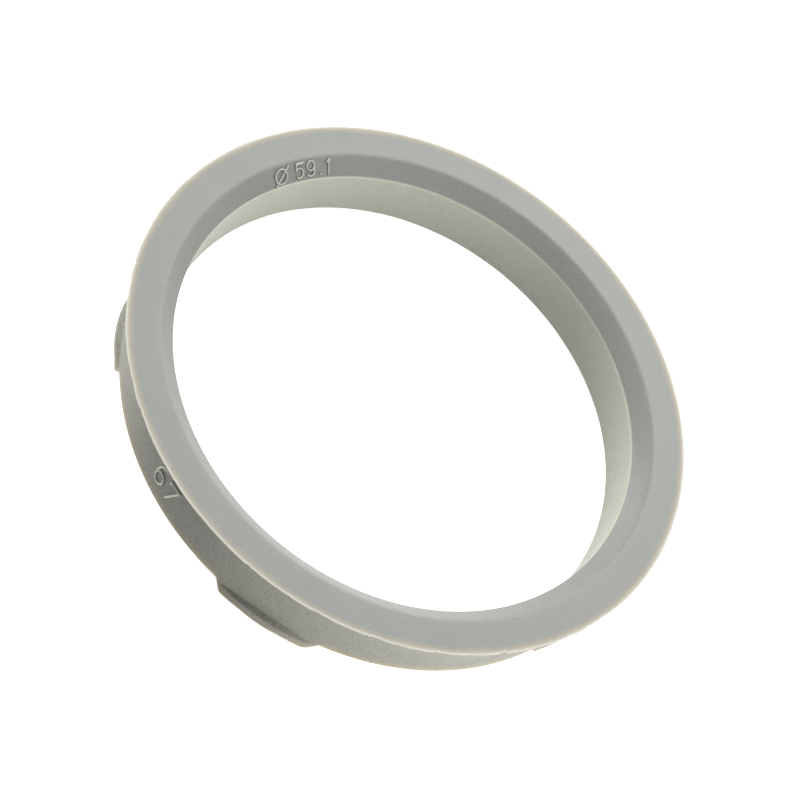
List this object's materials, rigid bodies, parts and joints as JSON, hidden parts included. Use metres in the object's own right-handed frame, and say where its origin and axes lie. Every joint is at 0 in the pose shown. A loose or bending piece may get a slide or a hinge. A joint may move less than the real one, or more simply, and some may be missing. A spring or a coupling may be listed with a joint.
{
  "type": "hub centric ring",
  "caption": "Flat plastic ring that centres a wheel's bore on its hub, with a bevelled bore, a thin tapered collar in front and snap lugs behind.",
  "frame": {"origin": "on the ring's axis, in the plane of the lug tips that the ring stands on", "axes": "+Z along the ring's axis, from the lug tips to the front face; the first lug lies on -Y"},
  "size_m": [0.0716, 0.0716, 0.0112],
  "materials": {
    "ring_plastic": "matt cool grey moulded plastic with a fine spark-eroded grain, slightly translucent and creamy along its thin collar edge"
  },
  "bodies": {
    "root": {"ring": "ring_plastic"}
  },
  "joints": []
}
